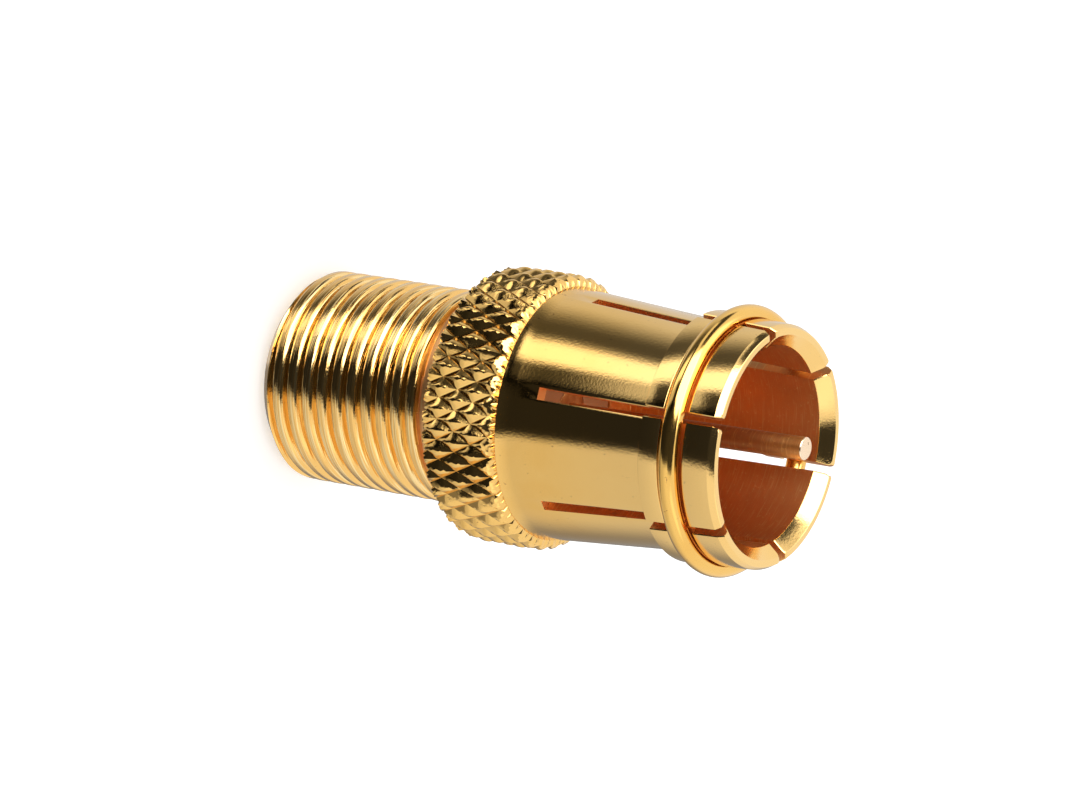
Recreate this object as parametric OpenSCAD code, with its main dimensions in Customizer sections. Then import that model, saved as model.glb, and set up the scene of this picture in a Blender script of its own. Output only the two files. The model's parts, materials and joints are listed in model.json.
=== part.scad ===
// Coaxial F adapter: a threaded jack at one end and a slotted push-on plug at
// the other, turned in one piece round a centre contact held in two insulators.
// It stands on its jack face: +Z runs from the jack face to the plug's mouth.

/* [Threaded jack] */
// Outside diameter of the barrel, over the crests of its 3/8-32 thread
thread_d = 9.46; // [9.2:0.02:9.6]
// Length of the barrel, from its face to the knurled collar
barrel_l = 9.84; // [9.2:0.02:11]
// Chamfer round the jack face
face_chamfer = 0.65; // [0.3:0.05:0.8]
// Bore for the insulators
insulator_d = 6.4; // [6:0.1:6.8]

/* [Knurled collar] */
// Diameter over the knurl
collar_d = 12.2; // [11.8:0.1:13]
// Length of the collar, rounded shoulder included
collar_l = 3.56; // [3:0.01:5]
// Radius of the shoulder that leads down to the sleeve
shoulder_r = 0.65; // [0.4:0.05:0.65]
// Chamfer on the collar's jack side
collar_chamfer = 0.14; // [0.05:0.01:0.3]
// Number of diamonds round the collar
knurl_count = 40; // [30:2:44]
// Length of one diamond along the collar
knurl_pitch = 1.75; // [1.5:0.05:2.2]
// Depth of the knurl grooves
knurl_depth = 0.3; // [0.1:0.05:0.32]
// Share of each diamond that its flat top takes up
knurl_flat = 0.34; // [0.1:0.02:0.5]
// Distance from the first whole row of diamonds' lower corners to the collar's jack side
knurl_offset = 0.17; // [0:0.01:0.8]
// Turn of the knurl round the axis, as a share of one diamond
knurl_turn = 0.2; // [0:0.05:0.95]

/* [Slotted sleeve] */
// Outside diameter of the sleeve past its flare at the collar
sleeve_root_d = 10.95; // [10.7:0.05:11]
// Outside diameter where the sleeve meets the fingers' rim band
sleeve_end_d = 10.0; // [9.9:0.05:10.4]
// Length of the concave flare where the sleeve leaves the collar
flare_l = 0.8; // [0.2:0.05:1.2]
// Growth of the radius over that flare
flare_w = 0.12; // [0.02:0.01:0.2]
// Length of the sleeve, from the collar to the rim band
sleeve_l = 7.14; // [5:0.01:9]
// Angles of the three saw cuts that make the six fingers
saw_cuts = [22.5, 83, 138.5];
// Distance from the collar to the blind ends of the slots
slot_start = 1.8; // [1:0.05:2.5]
// Slot width at the blind ends
slot_root_w = 0.54; // [0.3:0.02:0.7]
// Slot width at the mouth, where the set of the fingers closes it
slot_mouth_w = 0.38; // [0.2:0.02:0.6]

/* [Rim band and mouth] */
// Diameter of the rim band at its step
band_d = 10.94; // [10.6:0.02:11.1]
// Length of the rim band, from its step to the mouth
band_l = 3.61; // [3.4:0.01:4.5]
// Fall of the band's radius for each millimetre towards the mouth
band_lean = 0.055; // [0.02:0.005:0.08]
// Distance from the band's step to the ring groove
groove_start = 0.94; // [0.6:0.02:1.1]
// Width of the ring groove
groove_w = 1.16; // [1.0:0.02:1.2]
// Diameter of the groove floor
groove_d = 10.04; // [9.9:0.02:10.1]
// Socket diameter at its floor
socket_root_d = 9.8; // [9.5:0.05:9.8]
// Socket diameter inside the mouth, behind the lead-in
socket_mouth_d = 8.68; // [8.5:0.02:8.8]
// Lead-in chamfer inside the mouth
lead_in = 0.52; // [0.2:0.02:0.55]
// Width of the rounding on the mouth's outer edge, across the rim
rim_round_w = 0.14; // [0.06:0.02:0.2]
// Length of that rounding, along the axis
rim_round_l = 0.28; // [0.1:0.02:0.4]

/* [Clamp ring] */
// Wire diameter of the ring
ring_wire_d = 0.88; // [0.6:0.02:0.98]
// Opening between the ring's ends
ring_gap = 1.0; // [0.4:0.1:2]
// Direction of the opening, as an angle round the axis
ring_gap_angle = 113; // [0:1:360]

/* [Centre contact and insulators] */
// Pin diameter
pin_d = 1.0; // [0.9:0.02:1.1]
// Reach of the pin beyond the mouth
pin_reach = 1.35; // [0.5:0.02:3]
// Outside diameter of the contact's spring socket
contact_d = 2.3; // [2:0.1:2.6]
// Diameter of the contact's hub, inside the plug insulator
hub_d = 2.2; // [1.8:0.1:2.6]
// Diameter of the contact's flange, held between the insulators
flange_d = 3.4; // [3:0.1:4]
// Bore of the spring socket
contact_bore_d = 1.1; // [1.04:0.02:1.2]
// Depth of the spring socket
contact_bore_l = 5.0; // [4:0.1:6]
// Width of the cross cut that makes the four spring tines
tine_slot_w = 0.25; // [0.15:0.05:0.35]
// Hole in the jack insulator that takes the mating wire
wire_hole_d = 1.6; // [1.5:0.05:1.8]
// Thickness of the jack insulator in front of the contact
insulator_lip = 1.25; // [0.8:0.05:2]
// Gap between that lip and the tips of the tines
contact_gap = 0.3; // [0.1:0.05:0.5]
// Depth of the jack insulator's face below the jack face
insulator_recess = 0.25; // [0.1:0.05:0.5]
// Thickness of the inner web that both insulators stop against
web_l = 1.8; // [1.4:0.1:2.2]
// Distance from the collar's jack side up to the web's far side
web_top = 0.56; // [0.4:0.02:0.8]
// Hole through the web
web_hole_d = 4.8; // [4.4:0.1:5.2]
// Depth of the socket floor beyond the collar's shoulder
floor_step = 0.2; // [0.1:0.05:0.6]

/* [Hidden] */
$fn = 96;

gold = [0.86, 0.68, 0.36];
pale_gold = [0.9, 0.75, 0.45];
natural_plastic = [0.9, 0.88, 0.82];
eps = 0.01;

// Heights above the jack face
collar_z = barrel_l;
shoulder_z = collar_z + collar_l;
slot_z = shoulder_z + slot_start;
band_z = shoulder_z + sleeve_l;
groove_z = band_z + groove_start;
ring_z = groove_z + groove_w / 2;
mouth_z = band_z + band_l;
pin_tip_z = mouth_z + pin_reach;
web_z1 = collar_z + web_top;
web_z0 = web_z1 - web_l;
floor_z = shoulder_z + floor_step;
lip_z = insulator_recess + insulator_lip;
contact_z = lip_z + contact_gap;

// Radii
collar_r = collar_d / 2;
core_r = sleeve_root_d / 2;
knurl_floor_r = collar_r - knurl_depth;
mouth_r = socket_mouth_d / 2;

// Outer radius of the rim band at a height
function band_r(z) = band_d / 2 - band_lean * (z - band_z);

// The flare's curve, down from the collar to the sleeve
function flare(steps) =
    [for (i = [0 : steps])
        let (t = i / steps)
        [core_r + flare_w * (1 - t) * (1 - t), shoulder_z + flare_l * t]];

// Quarter round in the (radius, height) plane, from its side up to its top
function quarter(centre, w, l, steps) =
    [for (i = [0 : steps])
        let (a = 90 * i / steps)
        centre + [w * cos(a), l * sin(a)]];

// One turned blank for barrel, sleeve and rim band, without the collar. The barrel's
// side is the cylinder over the thread crests, which a nut or a slotted plug rides on.
module turned_core() {
    inside_collar = collar_z + 2 * collar_chamfer;
    outline = concat(
        [[0, 0],
         [thread_d / 2 - face_chamfer, 0],
         [thread_d / 2, face_chamfer],
         [thread_d / 2, inside_collar],
         [core_r + flare_w, inside_collar]],
        flare(4),
        [[sleeve_end_d / 2, band_z],
         [band_r(band_z), band_z],
         [band_r(groove_z), groove_z],
         [groove_d / 2, groove_z],
         [groove_d / 2, groove_z + groove_w],
         [band_r(groove_z + groove_w), groove_z + groove_w]],
        quarter([band_r(mouth_z) - rim_round_w, mouth_z - rim_round_l],
                rim_round_w, rim_round_l, 4),
        [[0, mouth_z]]);
    rotate_extrude() polygon(outline);
}

// The collar's blank: chamfered towards the jack, rounded towards the sleeve
module collar_blank() {
    hidden_r = insulator_d / 2 + 1;
    outline = concat(
        [[hidden_r, collar_z],
         [collar_r - collar_chamfer, collar_z],
         [collar_r + eps, collar_z + collar_chamfer + eps]],
        quarter([collar_r + eps - shoulder_r, shoulder_z - shoulder_r],
                shoulder_r, shoulder_r, 6),
        [[hidden_r, shoulder_z]]);
    rotate_extrude() polygon(outline);
}

// A rod covered in diamond points: two opposed sets of V grooves leave
// four-sided pyramids with small flat tops. Groove crossings lie in rings half a
// diamond apart, and each diamond stands between four of them.
module knurled_rod() {
    half = knurl_pitch / 2;
    turn = 360 / knurl_count;
    start_z = collar_z - knurl_offset - half;
    rings = ceil((shoulder_z - start_z) / half) + 2;
    n = knurl_count;

    function on_rod(r, angle, z) = [r * cos(angle), r * sin(angle), z];
    function ring_angle(k, j) = turn * (j + knurl_turn + (k % 2) / 2);
    // Corners of ring k, and the four corners round the diamond whose middle is on ring k
    function corner(k, j) = k * n + (j + n) % n;
    crossings = [for (k = [0 : rings - 1]) for (j = [0 : n - 1])
        on_rod(knurl_floor_r, ring_angle(k, j), start_z + k * half)];
    // Each diamond's flat top: left, lower, right and upper points
    tops = [for (k = [1 : rings - 2]) for (j = [0 : n - 1])
        let (a = ring_angle(k, j) + turn / 2, z = start_z + k * half,
             da = turn / 2 * knurl_flat, dz = half * knurl_flat)
        each [on_rod(collar_r, a - da, z), on_rod(collar_r, a, z - dz),
              on_rod(collar_r, a + da, z), on_rod(collar_r, a, z + dz)]];
    function top(k, j, side) = rings * n + ((k - 1) * n + j) * 4 + side;

    diamonds = [for (k = [1 : rings - 2]) for (j = [0 : n - 1])
        let (west = corner(k, j), east = corner(k, j + 1),
             south = corner(k - 1, j + k % 2), north = corner(k + 1, j + k % 2),
             w = top(k, j, 0), s = top(k, j, 1), e = top(k, j, 2), t = top(k, j, 3))
        each [[west, s, south], [west, w, s], [south, e, east], [south, s, e],
              [east, t, north], [east, e, t], [north, w, west], [north, t, w],
              [w, t, e], [w, e, s]]];
    // Flat triangles close the first and last rings, and a fan closes each end
    last = rings - 1;
    first_edge = [for (j = [0 : n - 1])
        [corner(0, j), corner(1, j), corner(0, j + 1)]];
    last_edge = [for (j = [0 : n - 1])
        [corner(last, j), corner(last, j + 1), corner(last - 1, j + last % 2)]];
    points = concat(crossings, tops, [[0, 0, start_z], [0, 0, start_z + last * half]]);
    hub = len(points) - 2;
    ends = [for (j = [0 : n - 1])
        each [[hub, corner(0, j), corner(0, j + 1)],
              [hub + 1, corner(last, j + 1), corner(last, j)]]];
    polyhedron(points, concat(diamonds, first_edge, last_edge, ends), convexity = 4);
}

module knurled_collar() {
    intersection() {
        collar_blank();
        knurled_rod();
    }
}

// The bores: insulator seats either side of the web, and the tapered socket
module bores() {
    insulator_r = insulator_d / 2;
    outline = [
        [0, -1],
        [insulator_r, -1],
        [insulator_r, web_z0],
        [web_hole_d / 2, web_z0],
        [web_hole_d / 2, web_z1],
        [insulator_r, web_z1],
        [insulator_r, floor_z],
        [socket_root_d / 2, floor_z],
        [mouth_r, mouth_z - lead_in],
        [mouth_r + lead_in, mouth_z],
        [mouth_r + lead_in, mouth_z + 1],
        [0, mouth_z + 1]];
    rotate_extrude() polygon(outline);
}

// A pass of the slitting saw right across the socket, cutting two slots
module saw_cut(angle) {
    reach = collar_d;
    over = 0.5;
    rotate([0, 0, angle]) rotate([90, 0, 90])
        linear_extrude(height = reach, center = true)
            polygon([[-slot_root_w / 2, slot_z],
                     [slot_root_w / 2, slot_z],
                     [slot_mouth_w / 2, mouth_z + over],
                     [-slot_mouth_w / 2, mouth_z + over]]);
}

// The whole turned, knurled, bored and slotted body
module body() {
    color(gold)
        difference() {
            union() {
                turned_core();
                knurled_collar();
            }
            bores();
            for (angle = saw_cuts) saw_cut(angle);
        }
}

// Split ring of round wire that grips the fingers in their groove
module clamp_ring() {
    wire_r = ring_wire_d / 2;
    ring_r = groove_d / 2 + wire_r;
    opening = ring_gap / ring_r * 180 / PI;
    color(pale_gold)
        translate([0, 0, ring_z])
            rotate([0, 0, ring_gap_angle + opening / 2])
                rotate_extrude(angle = 360 - opening)
                    translate([ring_r, 0]) circle(r = wire_r, $fn = 48);
}

// Insulator in the jack, with a funnel that guides the mating wire
module jack_insulator() {
    edge = 0.2;
    funnel = 0.5;
    r = insulator_d / 2;
    cavity_r = contact_d / 2 + 0.1;
    outline = [
        [wire_hole_d / 2 + funnel, insulator_recess],
        [r - edge, insulator_recess],
        [r, insulator_recess + edge],
        [r, web_z0],
        [cavity_r, web_z0],
        [cavity_r, lip_z],
        [wire_hole_d / 2, lip_z],
        [wire_hole_d / 2, insulator_recess + funnel]];
    color(natural_plastic) rotate_extrude() polygon(outline);
}

// Insulator at the socket floor, round the contact's hub
module plug_insulator() {
    edge = 0.2;
    clearance = 0.02;
    r = insulator_d / 2;
    outline = [
        [hub_d / 2 + clearance, web_z1],
        [r, web_z1],
        [r, floor_z - edge],
        [r - edge, floor_z],
        [hub_d / 2 + clearance, floor_z]];
    color(natural_plastic) rotate_extrude() polygon(outline);
}

// One turned contact: spring socket, trapped flange, hub and long pin
module centre_contact() {
    tip = 0.12;
    throat = 0.2;
    bore_end = contact_z + contact_bore_l;
    pin_r = pin_d / 2;
    bore_r = contact_bore_d / 2;
    outline = [
        [bore_r + throat, contact_z],
        [contact_d / 2, contact_z],
        [contact_d / 2, web_z0],
        [flange_d / 2, web_z0],
        [flange_d / 2, web_z1],
        [hub_d / 2, web_z1],
        [hub_d / 2, floor_z],
        [pin_r, floor_z],
        [pin_r, pin_tip_z - tip],
        [pin_r - tip, pin_tip_z],
        [0, pin_tip_z],
        [0, bore_end],
        [bore_r, bore_end],
        [bore_r, contact_z + throat]];
    color(gold)
        difference() {
            rotate_extrude() polygon(outline);
            for (angle = [45, 135])
                rotate([0, 0, angle])
                    translate([-contact_d, -tine_slot_w / 2, contact_z - 1])
                        cube([2 * contact_d, tine_slot_w, contact_bore_l]);
        }
}

body();
clamp_ring();
jack_insulator();
plug_insulator();
centre_contact();
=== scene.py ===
"""Looks of a gold-plated coaxial adapter: threaded jack, knurled collar, slotted push-on plug.

Shapes are worked out in millimetres and scaled to metres when a mesh is made.
Heights are measured along the axis from the jack face.
"""
import json
import math

import bmesh
import bpy
import numpy as np
from mathutils import Matrix, Vector


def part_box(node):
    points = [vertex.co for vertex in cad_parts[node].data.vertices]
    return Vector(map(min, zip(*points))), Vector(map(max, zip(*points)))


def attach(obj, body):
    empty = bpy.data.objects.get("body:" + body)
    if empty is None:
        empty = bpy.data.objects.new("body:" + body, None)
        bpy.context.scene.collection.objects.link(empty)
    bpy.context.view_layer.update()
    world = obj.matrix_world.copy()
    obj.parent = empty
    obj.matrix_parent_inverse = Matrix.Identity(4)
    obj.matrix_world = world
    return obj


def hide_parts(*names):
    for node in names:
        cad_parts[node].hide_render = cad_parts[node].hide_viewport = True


MM = 0.001
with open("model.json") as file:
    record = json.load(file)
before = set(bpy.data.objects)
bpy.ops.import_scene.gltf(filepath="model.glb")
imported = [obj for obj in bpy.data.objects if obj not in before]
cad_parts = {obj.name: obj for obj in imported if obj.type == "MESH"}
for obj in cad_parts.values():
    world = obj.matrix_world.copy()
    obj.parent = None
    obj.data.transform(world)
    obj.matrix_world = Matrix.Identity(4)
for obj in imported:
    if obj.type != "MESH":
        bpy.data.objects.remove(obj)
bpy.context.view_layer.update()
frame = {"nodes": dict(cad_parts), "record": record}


def corners_of(node):
    """Lowest and highest corners of a node, in millimetres."""
    low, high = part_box(node)
    return np.array(low) / MM, np.array(high) / MM


body_high = corners_of("body")[1]
ring_low, ring_high = corners_of("clamp_ring")
contact_low, contact_high = corners_of("centre_contact")
jack_low, jack_high = corners_of("jack_insulator")
plug_low, plug_high = corners_of("plug_insulator")
mounts = {mount["name"]: mount for mount in frame["record"]["mounts"]}

# Heights and radii that the frame gives
MOUTH_Z = body_high[2]
PIN_TIP_Z = contact_high[2]
CONTACT_Z = contact_low[2]
WEB_LOW_Z = jack_high[2]
WEB_HIGH_Z = plug_low[2]
FLOOR_Z = plug_high[2]
RING_Z = (ring_low[2] + ring_high[2]) / 2
WIRE_R = (ring_high[2] - ring_low[2]) / 2
RING_R = -ring_low[1] - WIRE_R
SEAT_R = jack_high[0]
THREAD_R = mounts["jack_thread"]["dims"]["r_mm"]
PIN_R = mounts["centre_pin"]["dims"]["r_mm"]
WIRE_HOLE_R = mounts["jack_contact_hole"]["dims"]["r_mm"]

# Threaded barrel
THREAD_PITCH = 25.4 / 32
THREAD_FLAT = 0.18
THREAD_ROUND = 0.20
THREAD_DEPTH = 0.31
THREAD_FLANK = math.radians(60)
THREAD_RUN_OUT = 0.25
THREAD_CREST_Z = 1.10
THREAD_END_Z = 9.25
FACE_CHAMFER = 0.65

# Knurled collar
COLLAR_Z = 9.84
SHOULDER_Z = 13.40
COLLAR_R = 6.10
COLLAR_CHAMFER = 0.14
COLLAR_FOOT_R = THREAD_R + 0.15
SHOULDER_R = 0.52
KNURL_COUNT = 40
KNURL_PITCH = 1.75
KNURL_SPACING = 0.84
KNURL_WALL = math.radians(37)
KNURL_ROUND = 0.15
KNURL_TOP = 0.03
KNURL_BLEND = 0.03
KNURL_FLOOR = 0.006
KNURL_Z = COLLAR_Z - 0.17
KNURL_TURN = 0.7

# Slotted sleeve, rim band and mouth
SLEEVE_ROOT_R = 5.475
SLEEVE_END_R = 5.00
FLARE_W = 0.12
FLARE_Z = SHOULDER_Z + 0.8
SLOT_Z = 15.20
BAND_Z = MOUTH_Z - 3.61
BAND_R = 5.47
BAND_LEAN = 0.055
RIM_CHAMFER_Z = 0.28
RIM_CHAMFER_R = 0.14
GROOVE_LOW_Z = RING_Z - 0.58
GROOVE_HIGH_Z = RING_Z + 0.58
GROOVE_R = 5.02
SOCKET_ROOT_R = 4.90
SOCKET_MOUTH_R = 4.34
LEAD_IN = 0.52
WEB_R = SEAT_R - 0.8
SLOT_ROOT_HALF = 0.27
SLOT_MOUTH_HALF = 0.19
SLOT_EDGE = 0.035
FINGER_CORNER = 0.16
SAW_CUTS = (22.5, 83.0, 138.5)

# Centre contact
SOCKET_R = 1.15
FLANGE_R = 1.70
HUB_R = 1.10
CONTACT_BORE_R = 0.55
CONTACT_BORE_DEPTH = 5.0
CONTACT_FUNNEL = 0.2
TINE_LENGTH = 4.0
TINE_CUTS = (45, 135)
TINE_SLOT_HALF = 0.125
TINE_EDGE = 0.015
PIN_CHAMFER = 0.04
PIN_LEAN = 0.16
END_R = 0.02

# Insulators
BUSH_EDGE = 0.2
HUB_GAP = 0.02

# Mesh limits: segments of a turned piece, angle of a hard edge, two distances in metres,
# and the sine of the widest angle that a slot takes up on one side
TURNED_SEGMENTS = 160
HARD_EDGE = math.radians(35)
MERGE_DISTANCE = 2e-7
SLIVER = 1e-7
WIDEST_SINE = 0.7


# ---------------------------------------------------------------- mesh tools

def rounded(corners, default=0.03, steps=3):
    """Rounds the inner corners of an open path of (radius, height[, rounding]) points."""
    points = [np.array(corner[:2], float) for corner in corners]
    radii = [corner[2] if len(corner) > 2 else default for corner in corners]
    path = [points[0]]
    for before, at, after, radius in zip(points, points[1:], points[2:], radii[1:]):
        to_before, to_after = before - at, after - at
        reach_before, reach_after = np.linalg.norm(to_before), np.linalg.norm(to_after)
        to_before, to_after = to_before / reach_before, to_after / reach_after
        half = math.acos(np.clip(to_before @ to_after, -1, 1)) / 2
        cut = min(radius / max(math.tan(half), 1e-6), 0.45 * reach_before, 0.45 * reach_after)
        if cut < 0.002 or math.degrees(half) > 88:
            path.append(at)
            continue
        start, end = at + to_before * cut, at + to_after * cut
        for step in range(steps + 1):
            share = step / steps
            path.append((1 - share) ** 2 * start + 2 * share * (1 - share) * at + share ** 2 * end)
    path.append(points[-1])
    return np.array(path)


def around(radius, angle, height):
    """Points in millimetres from cylindrical places; the angle is in radians."""
    radius, angle, height = np.broadcast_arrays(radius, angle, height)
    return np.stack([radius * np.cos(angle), radius * np.sin(angle), height], -1)


class Skin:
    """Collects vertices and faces, and turns them into one smooth-shaded object."""

    def __init__(self):
        self.points = []
        self.faces = []
        self.count = 0

    def add(self, points):
        """Adds an array of points and returns their numbers in the same layout."""
        points = np.asarray(points, float)
        numbers = np.arange(self.count, self.count + points[..., 0].size)
        self.points.append(points.reshape(-1, 3))
        self.count += numbers.size
        return numbers.reshape(points.shape[:-1])

    def quads(self, numbers):
        """Faces between neighbouring rows and columns of a table of vertices."""
        a, b = numbers[:-1, :-1], numbers[1:, :-1]
        c, d = numbers[1:, 1:], numbers[:-1, 1:]
        self.faces += np.stack([a, b, c, d], -1).reshape(-1, 4).tolist()

    def stitch(self, lower, upper):
        """Triangles between two rings of vertices, each ordered by its angle."""
        points = np.concatenate(self.points)

        def ordered(ring):
            """The ring's vertices and their angles, by rising angle."""
            ring = np.unique(ring)
            angles = np.mod(np.arctan2(points[ring, 1], points[ring, 0]), 2 * math.pi)
            order = np.argsort(angles)
            return ring[order], angles[order]

        low, low_angles = ordered(lower)
        high, high_angles = ordered(upper)
        shift = int(np.argmin(np.abs(high_angles - low_angles[0])))
        if high_angles[shift] - low_angles[0] > math.pi:
            shift = 0
        i = j = 0
        while i < len(low) or j < len(high):
            next_low = low_angles[(i + 1) % len(low)] + 2 * math.pi * ((i + 1) // len(low))
            turn = (j + shift + 1) // len(high)
            next_high = high_angles[(j + shift + 1) % len(high)] + 2 * math.pi * turn
            a, b = low[i % len(low)], high[(j + shift) % len(high)]
            if j >= len(high) or (i < len(low) and next_low <= next_high):
                self.faces.append([a, low[(i + 1) % len(low)], b])
                i += 1
            else:
                self.faces.append([a, high[(j + shift + 1) % len(high)], b])
                j += 1

    def build(self, name):
        """One object with merged vertices, outward faces, and its sharper edges kept hard."""
        points = np.concatenate(self.points) * MM
        work = bmesh.new()
        vertices = [work.verts.new(point) for point in points]
        for face in self.faces:
            if len(set(face)) > 2:
                work.faces.new([vertices[k] for k in face])
        bmesh.ops.remove_doubles(work, verts=work.verts, dist=MERGE_DISTANCE)
        bmesh.ops.dissolve_degenerate(work, edges=work.edges, dist=SLIVER)
        loose = [vertex for vertex in work.verts if not vertex.link_faces]
        bmesh.ops.delete(work, geom=loose, context="VERTS")
        bmesh.ops.recalc_face_normals(work, faces=work.faces)
        mesh = bpy.data.meshes.new(name)
        work.to_mesh(mesh)
        work.free()
        mesh.shade_smooth()
        mesh.set_sharp_from_angle(angle=HARD_EDGE)
        piece = bpy.data.objects.new(name, mesh)
        bpy.context.collection.objects.link(piece)
        return piece


def lathe(name, path):
    """A turned piece: a closed path of (radius, height) points spun round the axis."""
    skin = Skin()
    angles = np.linspace(0, 2 * math.pi, TURNED_SEGMENTS + 1)
    skin.quads(skin.add(around(path[:, :1], angles[None], path[:, 1:])))
    return skin.build(name)


def inset(path, depth):
    """The path moved sideways into the metal, its two ends left in place."""
    along = np.diff(path, axis=0)
    along /= np.linalg.norm(along, axis=1)[:, None]
    sideways = np.stack([-along[:, 1], along[:, 0]], -1)
    mitre = sideways[:-1] + sideways[1:]
    mitre /= np.maximum((mitre * sideways[1:]).sum(1), 0.4)[:, None]
    moved = path.copy()
    moved[1:-1] += mitre * depth
    return moved


def slotted(skin, path, cuts, slot_z, half_width, edge, columns):
    """Spins a path round the axis and leaves slots open above a height.

    The path runs up the outside, over the rim and down the inside. It has a point
    at the slots' blind end on both sides. Each slot has the given half width, and its
    edges are broken by the given size. Returns the first and last rings.
    """
    start, stop = [k for k, point in enumerate(path) if abs(point[1] - slot_z) < 1e-6][:2]
    edge_path = path.copy()
    edge_path[start:stop + 1] = inset(path[start:stop + 1], edge)
    directions = sorted(math.radians((cut + side) % 360) for cut in cuts for side in (0, 180))
    crowding = 0.35
    shares = (1 - np.cos(np.linspace(0.0, math.pi, columns))) / 2
    shares = crowding * shares + (1 - crowding) * np.linspace(0, 1, columns)

    def side_angles(points, extra):
        """How far a slot's side stands from its middle; held finite close to the axis."""
        offset = np.array([half_width(max(z, slot_z)) for z in points[:, 1]]) + extra
        return np.arcsin(np.minimum(offset / points[:, 0], WIDEST_SINE))

    wide = side_angles(path, edge)
    tight = side_angles(edge_path, 0.0)
    tables = []
    for first, second in zip(directions, directions[1:] + [directions[0] + 2 * math.pi]):
        left, right = first + wide, second - wide
        middle = left[:, None] + (right - left)[:, None] * shares[None]
        table = around(path[:, :1], middle, path[:, 1:])
        low_side = around(edge_path[:, 0], first + tight, edge_path[:, 1])[:, None]
        high_side = around(edge_path[:, 0], second - tight, edge_path[:, 1])[:, None]
        numbers = skin.add(np.concatenate([low_side, table, high_side], 1))
        skin.quads(numbers)
        skin.faces.append(numbers[start:stop + 1, 0].tolist())
        skin.faces.append(numbers[start:stop + 1, -1][::-1].tolist())
        tables.append(numbers)
    for table, following in zip(tables, tables[1:] + tables[:1]):
        pair = np.stack([table[:, -1], following[:, 0]], 1)
        skin.quads(pair[:start + 1])
        skin.quads(pair[stop:])
        skin.quads(pair[[start, stop]])
    return tuple(np.concatenate([table[k] for table in tables]) for k in (0, -1))


# ---------------------------------------------------------------- body

def band_radius(z):
    """Radius of the rim band, which narrows towards the mouth."""
    return BAND_R - BAND_LEAN * (z - BAND_Z)


def slot_half(z):
    """Half the width of a finger slot at a height; it opens round the fingers' corners."""
    share = (z - SLOT_Z) / (MOUTH_Z - SLOT_Z)
    into = min(max(z - (MOUTH_Z - FINGER_CORNER), 0), FINGER_CORNER)
    corner = FINGER_CORNER - math.sqrt(FINGER_CORNER ** 2 - into ** 2)
    return SLOT_ROOT_HALF + (SLOT_MOUTH_HALF - SLOT_ROOT_HALF) * share + corner


def body_path():
    """The turned outline from the collar's shoulder over the mouth to the jack face."""
    sleeve_slope = (SLEEVE_END_R - SLEEVE_ROOT_R) / (BAND_Z - FLARE_Z)
    bore_slope = (SOCKET_MOUTH_R - SOCKET_ROOT_R) / (MOUTH_Z - LEAD_IN - FLOOR_Z)
    slot_outer = SLEEVE_ROOT_R + sleeve_slope * (SLOT_Z - FLARE_Z)
    slot_inner = SOCKET_ROOT_R + bore_slope * (SLOT_Z - FLOOR_Z)
    flare = [(SLEEVE_ROOT_R + FLARE_W * (1 - share) ** 2,
              SHOULDER_Z + (FLARE_Z - SHOULDER_Z) * share, 0) for share in np.linspace(0, 0.8, 7)]
    outside = flare + [
        (SLEEVE_ROOT_R, FLARE_Z, 0.8),
        (slot_outer, SLOT_Z, 0),
        (SLEEVE_END_R, BAND_Z, 0.06),
        (band_radius(BAND_Z), BAND_Z, 0.06),
        (band_radius(GROOVE_LOW_Z), GROOVE_LOW_Z, 0.05),
        (GROOVE_R, GROOVE_LOW_Z, 0.04),
        (GROOVE_R, GROOVE_HIGH_Z, 0.04),
        (band_radius(GROOVE_HIGH_Z), GROOVE_HIGH_Z, 0.05),
        (band_radius(MOUTH_Z - RIM_CHAMFER_Z), MOUTH_Z - RIM_CHAMFER_Z, 0.1),
        (band_radius(MOUTH_Z) - RIM_CHAMFER_R, MOUTH_Z, 0.08)]
    bevel = [(SOCKET_MOUTH_R + LEAD_IN - into, MOUTH_Z - into, 0)
             for into in np.linspace(0.25, 1, 4) * FINGER_CORNER]
    inside = [(SOCKET_MOUTH_R + LEAD_IN, MOUTH_Z, 0.02)] + bevel + [
        (SOCKET_MOUTH_R, MOUTH_Z - LEAD_IN, 0.08),
        (slot_inner, SLOT_Z, 0),
        (SOCKET_ROOT_R, FLOOR_Z, 0.1),
        (SEAT_R, FLOOR_Z),
        (SEAT_R, WEB_HIGH_Z),
        (WEB_R, WEB_HIGH_Z),
        (WEB_R, WEB_LOW_Z),
        (SEAT_R, WEB_LOW_Z),
        (SEAT_R, 0, 0.08),
        (THREAD_R - FACE_CHAMFER, 0)]
    return rounded(outside + inside)


def thread_radius(z, angle):
    """Radius of the barrel at a height, on a right-hand helix, with its run-out."""
    lead = THREAD_PITCH * (angle + math.pi / 2) / (2 * math.pi)
    turns = (z - lead - THREAD_CREST_Z) / THREAD_PITCH
    from_crest = np.abs(turns - np.round(turns)) * THREAD_PITCH
    groove_z = THREAD_CREST_Z + lead + (np.floor(turns) + 0.5) * THREAD_PITCH
    past_flat = np.maximum(from_crest - THREAD_FLAT / 2, 0)
    round_end = THREAD_ROUND * math.sin(THREAD_FLANK)
    on_round = THREAD_ROUND - np.sqrt(THREAD_ROUND ** 2 - np.minimum(past_flat, round_end) ** 2)
    drop = on_round + np.maximum(past_flat - round_end, 0) * math.tan(THREAD_FLANK)
    fade = np.clip((THREAD_END_Z - groove_z) / THREAD_RUN_OUT, 0, 1)
    chamfer = THREAD_R - FACE_CHAMFER + z
    return np.minimum(THREAD_R - np.minimum(drop, THREAD_DEPTH) * fade, chamfer)


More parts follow.
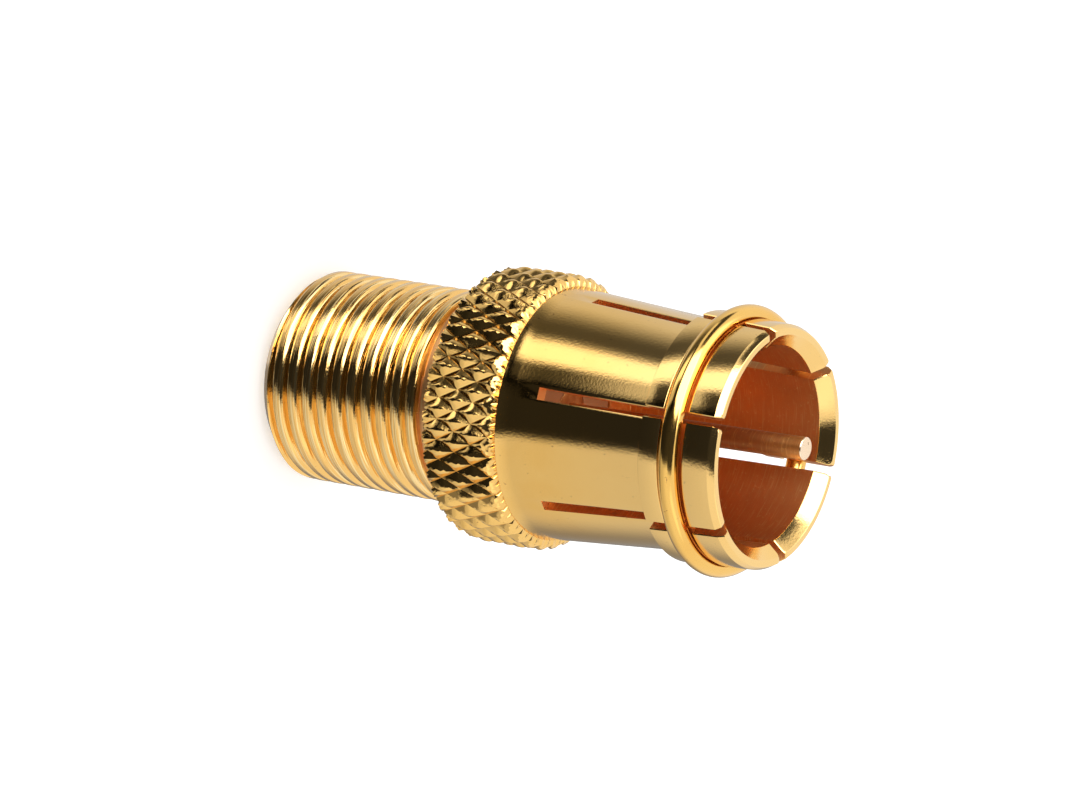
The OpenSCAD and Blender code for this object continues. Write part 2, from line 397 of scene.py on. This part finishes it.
def add_thread(skin, columns=140):
    """The barrel's outside. Its rows of vertices follow the helix, so crests stay crisp."""
    round_end = THREAD_FLAT / 2 + THREAD_ROUND * math.sin(THREAD_FLANK)
    one_side = np.concatenate([
        np.linspace(THREAD_FLAT / 2, round_end, 5),
        np.linspace(round_end, THREAD_PITCH / 2, 4)[1:-1]])
    offsets = np.concatenate([-one_side[::-1], [0], one_side, [THREAD_PITCH / 2]])
    per_turn = len(offsets)
    turns = range(-3, int(COLLAR_Z / THREAD_PITCH) + 2)
    rows = np.concatenate([THREAD_CREST_Z + turn * THREAD_PITCH + offsets for turn in turns])
    angles = np.arange(columns) / columns * 2 * math.pi - math.pi / 2
    lead = THREAD_PITCH * np.arange(columns) / columns
    z = np.clip(rows[:, None] + lead[None], 0, COLLAR_Z)
    numbers = skin.add(around(thread_radius(z, angles[None]), angles[None], z))
    skin.quads(numbers)
    seam = np.stack([numbers[:-per_turn, -1], numbers[per_turn:, 0]], 1)
    skin.quads(seam)
    return z, numbers


def trim_thread(skin, first_face, z, numbers):
    """Drops the faces squeezed flat at both ends and returns the two end rings."""
    height = dict(zip(numbers.ravel().tolist(), z.ravel().tolist()))
    kept = []
    for face in skin.faces[first_face:]:
        heights = [height[k] for k in face]
        if max(heights) > 0 and min(heights) < COLLAR_Z:
            kept.append(face)
    skin.faces[first_face:] = kept
    used = np.unique(np.concatenate([np.array(face) for face in kept]))
    low = np.array([k for k in used if height[k] <= 0])
    high = np.array([k for k in used if height[k] >= COLLAR_Z])
    return low, high


def knurl_drop(around_cells, up_cells):
    """Depth below the blank of straight-walled V grooves with rounded shoulders, in mm."""
    run = KNURL_SPACING / 2 - KNURL_TOP
    arc = KNURL_ROUND * math.sin(KNURL_WALL)
    rise = KNURL_ROUND * (1 - math.cos(KNURL_WALL))

    def groove(cells):
        """Drop across one set of grooves, which lie one to a cell."""
        from_top = KNURL_SPACING * (0.5 - np.abs(cells - np.round(cells))) - KNURL_TOP
        on_arc = KNURL_ROUND - np.sqrt(KNURL_ROUND ** 2 - np.clip(from_top, 0, arc) ** 2)
        wall = np.maximum(from_top - arc, 0) * math.tan(KNURL_WALL)
        return on_arc + wall

    one, other = groove(around_cells + up_cells), groove(around_cells - up_cells)
    deeper = (one + other + np.sqrt((one - other) ** 2 + KNURL_BLEND ** 2) - KNURL_BLEND) / 2
    return np.minimum(deeper, rise + (run - arc) * math.tan(KNURL_WALL) - KNURL_FLOOR)


def collar_limit(z):
    """Outline of the collar's blank: a small chamfer, the cylinder, the round shoulder."""
    into = np.clip(z - (SHOULDER_Z - SHOULDER_R), 0, SHOULDER_R)
    shoulder = COLLAR_R - SHOULDER_R + np.sqrt(np.maximum(SHOULDER_R ** 2 - into ** 2, 0))
    chamfer = COLLAR_R - COLLAR_CHAMFER + np.clip(z - COLLAR_Z, 0, COLLAR_CHAMFER)
    return np.minimum(shoulder, chamfer)


def add_knurl(skin):
    """The collar's outside, down to its foot; returns its lowest and highest rings.

    The vertices follow the two sets of grooves, closest together at tops and floors.
    """
    half_shares = np.array([0, 0.025, 0.18, 0.355, 0.41, 0.464])
    shares = np.concatenate([half_shares, [0.5], 1 - half_shares[::-1]])
    size = len(shares)
    reach_below = COLLAR_R - COLLAR_FOOT_R
    low_row = int(math.floor((COLLAR_Z - reach_below - KNURL_Z) / KNURL_PITCH * 2)) - 1
    high_row = int(math.ceil((SHOULDER_Z - KNURL_Z) / KNURL_PITCH * 2)) + 1

    def surface(around_cells, up_cells):
        """Points of the lattice, and which of them lie on the lowest and highest rings."""
        z = KNURL_Z + up_cells * KNURL_PITCH
        held = np.clip(z, COLLAR_Z, SHOULDER_Z)
        lattice = COLLAR_R - knurl_drop(around_cells, (held - KNURL_Z) / KNURL_PITCH)
        radius = np.minimum(lattice, collar_limit(held))
        foot = np.maximum(radius - (COLLAR_Z - z), COLLAR_FOOT_R)
        radius = np.where(z < COLLAR_Z, foot, radius)
        low = (z < COLLAR_Z) & (radius <= COLLAR_FOOT_R)
        angle = (around_cells + KNURL_TURN) * 2 * math.pi / KNURL_COUNT
        return around(radius, angle, held), low, z >= SHOULDER_Z

    low_ring, high_ring = [], []
    seen = {}
    key_steps = 2000
    for row in range(low_row, high_row + 1):
        for column in range(KNURL_COUNT):
            centre = column + (0.5 if row % 2 == 0 else 0.0)
            a = centre + row / 2 - 0.5 + shares[:, None]
            b = centre - row / 2 - 0.5 + shares[None]
            t, s = (a + b) / 2, (a - b) / 2
            points, low, high = surface(t, s)
            if low.all() or high.all():
                continue
            turn_keys = np.round(np.mod(t, KNURL_COUNT) * key_steps) % (KNURL_COUNT * key_steps)
            keys = np.stack([turn_keys, np.round(s * key_steps)], -1).astype(int)
            numbers = np.empty((size, size), int)
            for p in range(size):
                for q in range(size):
                    key = tuple(keys[p, q])
                    if key not in seen:
                        seen[key] = int(skin.add(points[p, q][None])[0])
                        if low[p, q]:
                            low_ring.append(seen[key])
                        if high[p, q]:
                            high_ring.append(seen[key])
                    numbers[p, q] = seen[key]
            for p in range(size - 1):
                for q in range(size - 1):
                    w, x, y, v = (p, q), (p + 1, q), (p + 1, q + 1), (p, q + 1)
                    if p == q:
                        faces = [(w, x, y), (w, y, v)]
                    elif p + q == size - 2:
                        faces = [(w, x, v), (x, y, v)]
                    else:
                        faces = [(w, x, y, v)]
                    for spots in faces:
                        if all(low[spot] for spot in spots) or all(high[spot] for spot in spots):
                            continue
                        skin.faces.append([int(numbers[spot]) for spot in spots])
    used = {k for face in skin.faces for k in face}
    return (np.array([k for k in low_ring if k in used]),
            np.array([k for k in high_ring if k in used]))


def takes_painted_shade(centre, normal):
    """True for the faces that get painted shade: the socket with its web and seat, the slots'
    walls, and the ring's groove.
    """
    radius = math.hypot(centre.x, centre.y)
    sideways = abs(normal.y * centre.x - normal.x * centre.y) / max(radius, 1e-6)
    in_bore = radius < SOCKET_ROOT_R + 0.03 and WEB_LOW_Z < centre.z < MOUTH_Z - LEAD_IN - 0.03
    in_groove = radius < GROOVE_R + 0.2 and GROOVE_LOW_Z < centre.z < GROOVE_HIGH_Z
    on_blind_end = radius < SLEEVE_ROOT_R and normal.z > 0.9 and centre.z < SLOT_Z + 0.1
    in_slot = centre.z > SLOT_Z - 0.01 and (sideways > 0.9 or on_blind_end)
    return in_bore or in_groove or in_slot


def make_body():
    """Fingers, barrel and collar as one skin, with the faces that get painted shade marked."""
    skin = Skin()
    shoulder_ring, face_ring = slotted(
        skin, body_path(), SAW_CUTS, SLOT_Z, slot_half, SLOT_EDGE, columns=34)
    first_face = len(skin.faces)
    z, numbers = add_thread(skin)
    thread_low, thread_high = trim_thread(skin, first_face, z, numbers)
    knurl_low, knurl_high = add_knurl(skin)
    skin.stitch(face_ring, thread_low)
    skin.stitch(thread_high, knurl_low)
    skin.stitch(knurl_high, shoulder_ring)
    piece = skin.build("body_shell")
    for face in piece.data.polygons:
        face.material_index = int(takes_painted_shade(face.center / MM, face.normal))
    return piece


# ---------------------------------------------------------------- small pieces

def make_ring():
    """Split ring of round wire, its gap where the frame has it and its two ends flat."""
    segments, sides = 220, 28
    frame_ring = frame["nodes"]["clamp_ring"]
    at = np.array([vertex.co[:2] for vertex in frame_ring.data.vertices])
    angles = np.sort(np.mod(np.arctan2(at[:, 1], at[:, 0]), 2 * math.pi))
    gaps = np.diff(np.append(angles, angles[0] + 2 * math.pi))
    widest = int(np.argmax(gaps))
    start, opening = angles[(widest + 1) % len(angles)], gaps[widest]
    skin = Skin()
    sweep = start + np.linspace(0, 2 * math.pi - opening, segments)
    turn = np.linspace(0, 2 * math.pi, sides + 1)
    radius = RING_R + WIRE_R * np.cos(turn)
    height = RING_Z + WIRE_R * np.sin(turn)
    numbers = skin.add(around(radius[:, None], sweep[None], height[:, None]))
    skin.quads(numbers)
    skin.faces.append(numbers[:-1, 0].tolist())
    skin.faces.append(numbers[:-1, -1][::-1].tolist())
    return skin.build("clamp_ring_wire")


def make_contact():
    """Spring socket with four tines, flange, hub and the long pin.

    The path runs upside down, since the tines are slotted from the jack end, and the
    skin is turned over when it is done.
    """
    bore_end = CONTACT_Z + CONTACT_BORE_DEPTH
    tine_end = CONTACT_Z + TINE_LENGTH
    path = rounded([
        (PIN_R, -FLOOR_Z, 0),
        (HUB_R, -FLOOR_Z),
        (HUB_R, -WEB_HIGH_Z),
        (FLANGE_R, -WEB_HIGH_Z),
        (FLANGE_R, -WEB_LOW_Z),
        (SOCKET_R, -WEB_LOW_Z),
        (SOCKET_R, -tine_end, 0),
        (SOCKET_R, -CONTACT_Z, 0.06),
        (CONTACT_BORE_R + CONTACT_FUNNEL, -CONTACT_Z),
        (CONTACT_BORE_R, -CONTACT_Z - CONTACT_FUNNEL),
        (CONTACT_BORE_R, -tine_end, 0),
        (CONTACT_BORE_R, -bore_end),
        (END_R, -bore_end)])
    skin = Skin()
    pin_ring, bore_ring = slotted(
        skin, path, TINE_CUTS, -tine_end, lambda z: TINE_SLOT_HALF, TINE_EDGE, columns=12)
    skin.faces.append(bore_ring.tolist())
    pin = rounded([
        (PIN_R, -FLOOR_Z),
        (PIN_R, -PIN_TIP_Z + PIN_CHAMFER),
        (PIN_R - PIN_CHAMFER, -PIN_TIP_Z, 0.02),
        (END_R, -PIN_TIP_Z)])
    angles = np.linspace(0, 2 * math.pi, 65)[:-1]
    numbers = skin.add(around(pin[:, :1], angles[None], pin[:, 1:]))
    skin.quads(np.concatenate([numbers, numbers[:, :1]], 1))
    skin.faces.append(numbers[-1].tolist())
    skin.stitch(numbers[0], pin_ring)
    for points in skin.points:
        points[:, 2] *= -1
        along = np.maximum((points[:, 2] - FLOOR_Z) / (PIN_TIP_Z - FLOOR_Z), 0)
        points[:, 0] -= PIN_LEAN * along ** 2
    piece = skin.build("contact_pin")
    for face in piece.data.polygons:
        # Painted shade: the contact below its tip takes the darker brass
        face.material_index = int(face.center.z / MM < PIN_TIP_Z - 0.03)
    return piece


def make_jack_insulator():
    """Bush in the threaded jack: a funnel and hole for the wire, a cavity round the tines."""
    lip = 1.25
    funnel = 0.5
    cavity = SOCKET_R + 0.1
    low = jack_low[2]
    return lathe("jack_bush", rounded([
        (WIRE_HOLE_R + funnel, low),
        (SEAT_R - BUSH_EDGE, low),
        (SEAT_R, low + BUSH_EDGE),
        (SEAT_R, WEB_LOW_Z, 0),
        (cavity, WEB_LOW_Z, 0),
        (cavity, low + lip),
        (WIRE_HOLE_R, low + lip),
        (WIRE_HOLE_R, low + funnel),
        (WIRE_HOLE_R + funnel, low)]))


def make_plug_insulator():
    """Bush at the socket's floor, round the contact's hub."""
    bore = HUB_R + HUB_GAP
    return lathe("plug_bush", rounded([
        (bore, WEB_HIGH_Z),
        (SEAT_R, WEB_HIGH_Z, 0),
        (SEAT_R, FLOOR_Z - BUSH_EDGE),
        (SEAT_R - BUSH_EDGE, FLOOR_Z),
        (bore, FLOOR_Z),
        (bore, WEB_HIGH_Z)]))


# ---------------------------------------------------------------- materials

class Value:
    """A node socket that can be used in sums."""

    def __init__(self, nodes, socket):
        self.nodes = nodes
        self.socket = socket

    def _math(self, operation, *values):
        """A Math node on values and plain numbers."""
        return self.nodes.add("ShaderNodeMath", {"operation": operation}, *values)

    def __add__(self, other):
        return self._math("ADD", self, other)

    def __radd__(self, other):
        return self._math("ADD", other, self)

    def __sub__(self, other):
        return self._math("SUBTRACT", self, other)

    def __rsub__(self, other):
        return self._math("SUBTRACT", other, self)

    def __mul__(self, other):
        return self._math("MULTIPLY", self, other)

    def __rmul__(self, other):
        return self._math("MULTIPLY", other, self)

    def least(self, other):
        """The smaller of the two."""
        return self._math("MINIMUM", self, other)

    def most(self, other):
        """The larger of the two."""
        return self._math("MAXIMUM", self, other)


class Nodes:
    """A node tree that grows by one method, with short forms for the nodes used most."""

    def __init__(self, tree):
        self.tree = tree
        tree.nodes.clear()

    def add(self, kind, settings=None, *inputs, out=0, **named):
        """Adds a node, sets it up, fills its sockets and returns one of its outputs.

        Sockets are filled by name, or in order, where those that the settings hide don't count.
        """
        node = self.tree.nodes.new(kind)
        for key, setting in (settings or {}).items():
            setattr(node, key, setting)
        shown = [socket for socket in node.inputs if socket.enabled]
        filled = [(shown[k], value) for k, value in enumerate(inputs)]
        filled += [(node.inputs[key.replace("_", " ")], value) for key, value in named.items()]
        for socket, value in filled:
            if isinstance(value, Value):
                self.tree.links.new(value.socket, socket)
            else:
                socket.default_value = value
        return Value(self, node.outputs[out]) if node.outputs else None

    def mix(self, factor, first, second):
        """Colour between two colours."""
        return self.add("ShaderNodeMix", {"data_type": "RGBA"}, factor, first, second, out=2)

    def stretch(self, place, factors):
        """A place scaled by its own factor along each axis."""
        return self.add("ShaderNodeVectorMath", {"operation": "MULTIPLY"}, place, factors)

    def noise(self, place, scale, detail, roughness):
        """Soft random cloud; the scale counts its cells in a metre."""
        return self.add("ShaderNodeTexNoise", None, Vector=place, Scale=scale, Detail=detail,
                        Roughness=roughness)

    def relief(self, height, strength=1.0):
        """Normal of a surface with fine relief; a height of 1 stands for 0.01 mm."""
        return self.add("ShaderNodeBump", None, Strength=strength, Distance=1.0,
                        Height=height * RELIEF)

    def step(self, value, low, high):
        """0 below low, 1 above high, smooth between."""
        return self.add("ShaderNodeMapRange", {"interpolation_type": "SMOOTHSTEP"},
                        value, low, high, 0.0, 1.0)


RELIEF = 1e-5

# Tones of the plating, with a painted reflection and painted highlights for the barrel
PAINTED_THREAD_REFLECTION = (0.92, 0.55, 0.18, 1)
PAINTED_THREAD_HIGHLIGHT = (1.0, 0.77, 0.38, 1)
PIT_BROWN = (0.30, 0.14, 0.05, 1)
LAND_GOLD = (0.95, 0.64, 0.25, 1)

# Turning marks in a metre, across the axis twice and along it; the barrel's and the bore's marks
# also place painted highlights
PLATED_MARKS = (260.0, 260.0, 9000.0)
THREAD_HAIRS_AND_GLINTS = (240.0, 240.0, 13000.0)
BORE_MARKS_AND_GLINTS = (800.0, 800.0, 18000.0)


def new_material(name):
    """A material and its empty node tree."""
    material = bpy.data.materials.new(name)
    material.use_nodes = True
    return material, Nodes(material.node_tree)


def gold(name, colour, deep, roughness, marks, speckle, thread_marks=0.0):
    """Gold plating over turned brass: ring marks round the axis, grain, pits and deeper patches.

    With thread marks it also has scratches on the barrel, an orange tone there that is painted
    reflection, pale streaks along the scratches that are painted highlights, and it grows paler
    towards the mouth and on the rim.
    """
    material, nodes = new_material(name)
    place = nodes.add("ShaderNodeTexCoord", out="Object")
    rings = nodes.noise(nodes.stretch(place, PLATED_MARKS), 1.0, 2.0, 0.6)
    grain = nodes.noise(place, 9000.0, 3.0, 0.6)
    blotch = nodes.noise(place, 420.0, 3.0, 0.55)
    pits = nodes.noise(place, 5200.0, 1.0, 0.5)
    patches = nodes.step(blotch, 0.42, 0.68)
    pitted = nodes.step(pits, 0.72, 0.78) * nodes.step(blotch, 0.40, 0.60)
    tone = nodes.mix(patches * 0.35, colour, deep)
    tone = nodes.mix(pitted * 0.7, tone, PIT_BROWN)
    if thread_marks:
        height = nodes.add("ShaderNodeSeparateXYZ", None, place, out="Z")
        on_thread = 1 - nodes.step(height, (COLLAR_Z - 0.1) * MM, COLLAR_Z * MM)
        near_mouth = nodes.step(height, SLOT_Z * MM, BAND_Z * MM) * 0.6
        on_mouth = nodes.step(height, (MOUTH_Z - 0.06) * MM, (MOUTH_Z - 0.01) * MM)
        hairs_and_glints = nodes.noise(nodes.stretch(place, THREAD_HAIRS_AND_GLINTS), 1.0, 2.0, 0.6)
        # Painted reflection: the barrel is tinted orange for light bounced between its gold
        # surfaces
        tone = nodes.mix(on_thread * 0.6, tone, PAINTED_THREAD_REFLECTION)
        # Painted highlights: pale streaks on the barrel's scratches
        tone = nodes.mix(on_thread * nodes.step(hairs_and_glints, 0.52, 0.60) * 0.75, tone, PAINTED_THREAD_HIGHLIGHT)
        tone = nodes.mix(near_mouth.most(on_mouth), tone, LAND_GOLD)
        marks = marks + on_thread * thread_marks
        rings = rings + hairs_and_glints * on_thread * 2.5
    shader = nodes.add(
        "ShaderNodeBsdfPrincipled", None, Base_Color=tone, Metallic=1.0,
        Roughness=roughness + blotch * 0.07, Normal=nodes.relief(rings * marks + grain * speckle))
    nodes.add("ShaderNodeOutputMaterial", None, shader)
    return material


def shaded_brass(name, colour, glint_colour):
    """Painted shade for metal that lies in shade: one dark red-brown tone, with painted glints on
    fine turning marks and flecks.
    """
    material, nodes = new_material(name)
    place = nodes.add("ShaderNodeTexCoord", out="Object")
    rings = nodes.noise(nodes.stretch(place, BORE_MARKS_AND_GLINTS), 1.0, 3.0, 0.65)
    fleck = nodes.noise(place, 7000.0, 2.0, 0.6)
    # Painted glints: brighter turning marks and flecks
    bright = nodes.step(rings, 0.52, 0.70) * 0.6 + nodes.step(fleck, 0.62, 0.72) * 0.6
    shader = nodes.add(
        "ShaderNodeBsdfPrincipled", None, Base_Color=nodes.mix(bright, colour, glint_colour),
        Metallic=1.0, Roughness=0.34 + fleck * 0.16,
        Normal=nodes.relief(rings * 0.3 + fleck * 0.2))
    nodes.add("ShaderNodeOutputMaterial", None, shader)
    return material


def plastic(name, light, dark):
    """Moulded insulator with faint moulding clouds and a fine grain."""
    material, nodes = new_material(name)
    place = nodes.add("ShaderNodeTexCoord", out="Object")
    cloud = nodes.noise(place, 700.0, 3.0, 0.5)
    grain = nodes.noise(place, 9000.0, 2.0, 0.5)
    shader = nodes.add(
        "ShaderNodeBsdfPrincipled", None, Base_Color=nodes.mix(cloud, light, dark),
        Roughness=0.38 + cloud * 0.1, Normal=nodes.relief(grain, strength=0.4))
    nodes.add("ShaderNodeOutputMaterial", None, shader)
    return material


def dress(piece, node, slot, *materials):
    """Puts a piece in a node's place, with its materials; the slot is not used."""
    for material in materials:
        piece.data.materials.append(material)
    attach(piece, "root")
    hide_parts(node)


# ---------------------------------------------------------------- studio

WHITE = (1.0, 1.0, 1.0, 1.0)
PAPER = (0.88, 0.88, 0.88, 1)
FLOOR_GLOW = 0.42


def make_studio():
    """World that is plain white, except that reflections see soft cards round the part.

    Directions are in degrees: swing is 0 on the camera's side and grows towards -X, lift is
    the height over the horizon. The level starts near white, a dark card multiplies it by
    what it lets through, and a bright one adds to it.
    """
    world = bpy.data.worlds.new("studio")
    bpy.context.scene.world = world
    world.use_nodes = True
    nodes = Nodes(world.node_tree)
    direction = nodes.add("ShaderNodeTexCoord")
    x, y, z = (nodes.add("ShaderNodeSeparateXYZ", None, direction, out=k) for k in range(3))
    to_degrees = 180 / math.pi
    swing = nodes.add("ShaderNodeMath", {"operation": "ARCTAN2"}, -1 * x, -1 * y) * to_degrees
    lift = nodes.add("ShaderNodeMath", {"operation": "ARCSINE"}, z) * to_degrees

    def between(value, low, high, soft):
        """1 between two edges and 0 outside, over a soft margin, in degrees."""
        return nodes.step(value - low, -soft, soft) * (1 - nodes.step(value - high, -soft, soft))

    def card(left, right, low, high, soft):
        """1 inside a window of directions."""
        return between(swing, left, right, soft) * between(lift, low, high, soft)

    # Room: darker below the horizon, a dim corner low behind, a pale patch high towards +X
    level = 0.70 + 0.32 * nodes.step(lift, -42.0, 8.0)
    dim_corner = nodes.step(-1 * swing, 106.0, 145.0) * (1 - nodes.step(lift, -26.0, -8.0))
    level = level * (1 - 0.6 * dim_corner)
    level = level + 0.35 * card(-105, -58, 33, 53, 5)

    # Shade low towards -X; the other two cards are there to darken facets of the knurl
    dusk_swing = nodes.step(swing, 62.0, 72.0) * (1 - nodes.step(swing, 82.0, 118.0))
    dusk = dusk_swing * (1 - nodes.step(lift, -9.0, 0.0))
    gap = card(20, 74, -12, 0, 2)
    table_edge = card(-88, -12, -80, -56, 4)
    level = level * (1 - 0.88 * dusk) * (1 - 0.93 * gap) * (1 - 0.65 * table_edge)

    # Dark wall towards -X and the bright ceiling over it
    brown_left = 76 + 1.2 * (lift - 28).most(0) + (4 * (15 - lift).most(0)).least(26.0)
    brown_right = (122 - 0.55 * (lift - 12).most(0) - 1.2 * (lift - 26).most(0)
                   - 1.5 * (6 - lift).most(0))
    brown = between(swing, brown_left, brown_right, 4) * between(lift, -6, 40, 5)
    ceiling = between(swing, 84 + (50 - lift).most(0), 156, 5) * nodes.step(lift, 34.0, 44.0)
    level = level * (1 - 0.94 * brown) + 1.1 * ceiling

    # Dark flag on the camera's side, at every height, and a sill beside its foot
    left_edge = (-27 - 6 * nodes.step(lift, 20.0, 28.0) - 0.42 * (lift - 28).most(0)
                 - 0.5 * (lift - 50).most(0))
    right_edge = (25 - 8 * nodes.step(lift, 10.0, 24.0) - 3 * nodes.step(lift, 28.0, 38.0)
                  + 1.2 * (lift - 56).most(0))
    flag = between(swing, left_edge, right_edge, 3)
    sill = card(15, 41, -30, -2, 3)
    level = level * (1 - 0.97 * flag) * (1 - 0.93 * sill)

    # Tall softbox beside the flag, and a pale patch low under it
    box_edge = 61 + 0.3 * lift + 0.55 * (lift - 22).most(0)
    box = between(swing, right_edge, box_edge, 3) * nodes.step(lift, 0.0, 8.0)
    under_box = card(43, 63, -60, -14, 3)
    level = level + 4.0 * box + 0.95 * under_box

    glossy = nodes.add("ShaderNodeLightPath", out="Is Glossy Ray")
    strength = glossy * level + (1 - glossy)
    background = nodes.add("ShaderNodeBackground", None, WHITE, strength)
    nodes.add("ShaderNodeOutputWorld", None, background)


def make_floor():
    """Pale floor that glows a little: white where it is fully lit, darker in shadow."""
    skin = Skin()
    reach = 2500.0
    spots = np.linspace(-reach, reach, 3)
    grid = np.stack(np.meshgrid(spots, spots, indexing="ij"), -1)
    skin.quads(skin.add(np.concatenate([grid, np.zeros((3, 3, 1))], -1)))
    floor = skin.build("studio_floor")
    material, nodes = new_material("pale_floor")
    paper = nodes.add("ShaderNodeBsdfDiffuse", None, Color=PAPER)
    glow = nodes.add("ShaderNodeEmission", None, WHITE, FLOOR_GLOW)
    both = nodes.add("ShaderNodeAddShader", None, paper, glow)
    nodes.add("ShaderNodeOutputMaterial", None, both)
    floor.data.materials.append(material)
    floor.visible_glossy = False


def make_camera():
    """Long lens, looking down on the mouth, rolled so that the axis lies across the frame."""
    elevation, roll = math.radians(32.52), math.radians(99.21)
    aim = np.array([-0.184, 0.0, 11.97])
    distance = 218.0
    back = np.array([0, -math.cos(elevation), math.sin(elevation)])
    level_right = np.array([1.0, 0, 0])
    level_up = np.array([0, math.sin(elevation), math.cos(elevation)])
    right = math.cos(roll) * level_right + math.sin(roll) * level_up
    up = -math.sin(roll) * level_right + math.cos(roll) * level_up
    lens = bpy.data.cameras.new("camera")
    lens.lens = 166.0
    lens.sensor_width = 36.0
    lens.clip_start = 0.01
    lens.clip_end = 20.0
    camera = bpy.data.objects.new("camera", lens)
    placed = Matrix([list(row) + [0] for row in np.stack([right, up, back], 1)] + [[0, 0, 0, 1]])
    placed.translation = Vector((aim + back * distance) * MM)
    camera.matrix_world = placed
    bpy.context.collection.objects.link(camera)
    bpy.context.scene.camera = camera


body_gold = gold("gold_turned", (0.92, 0.57, 0.175, 1), (0.88, 0.50, 0.12, 1),
                 roughness=0.075, marks=0.10, speckle=0.40, thread_marks=0.9)
ring_gold = gold("gold_wire", (0.92, 0.56, 0.15, 1), (0.88, 0.48, 0.11, 1),
                 roughness=0.09, marks=0.03, speckle=0.10)
pin_gold = gold("gold_pin", (0.95, 0.74, 0.52, 1), (0.92, 0.66, 0.40, 1),
                roughness=0.14, marks=0.06, speckle=0.05)
# Painted shade and painted reflection: dark red-brown for the socket, the slots' walls and the
# ring's groove
bore_shade_paint = shaded_brass("shaded_brass", (0.82, 0.40, 0.15, 1), (0.97, 0.70, 0.30, 1))
# Painted shade: darker brass for the contact below its tip
shaft_shade_paint = shaded_brass("shaded_shaft", (0.56, 0.28, 0.11, 1), (0.80, 0.50, 0.20, 1))
white_plastic = plastic("white_bush", (0.80, 0.77, 0.68, 1), (0.72, 0.68, 0.58, 1))
# Painted shade and painted reflected light: the plug bush is the white insulator, darkened and
# warmed deep in the socket
bush_shade_paint = plastic("amber_bush", (0.52, 0.28, 0.14, 1), (0.46, 0.24, 0.12, 1))

dress(make_body(), "body", "gold_plated_body", body_gold, bore_shade_paint)
dress(make_ring(), "clamp_ring", "gold_plated_ring", ring_gold)
dress(make_contact(), "centre_contact", "gold_plated_contact", pin_gold, shaft_shade_paint)
dress(make_jack_insulator(), "jack_insulator", "white_insulator", white_plastic)
dress(make_plug_insulator(), "plug_insulator", "white_insulator", bush_shade_paint)

make_studio()
make_floor()
make_camera()
bpy.context.scene.view_settings.view_transform = "Standard"
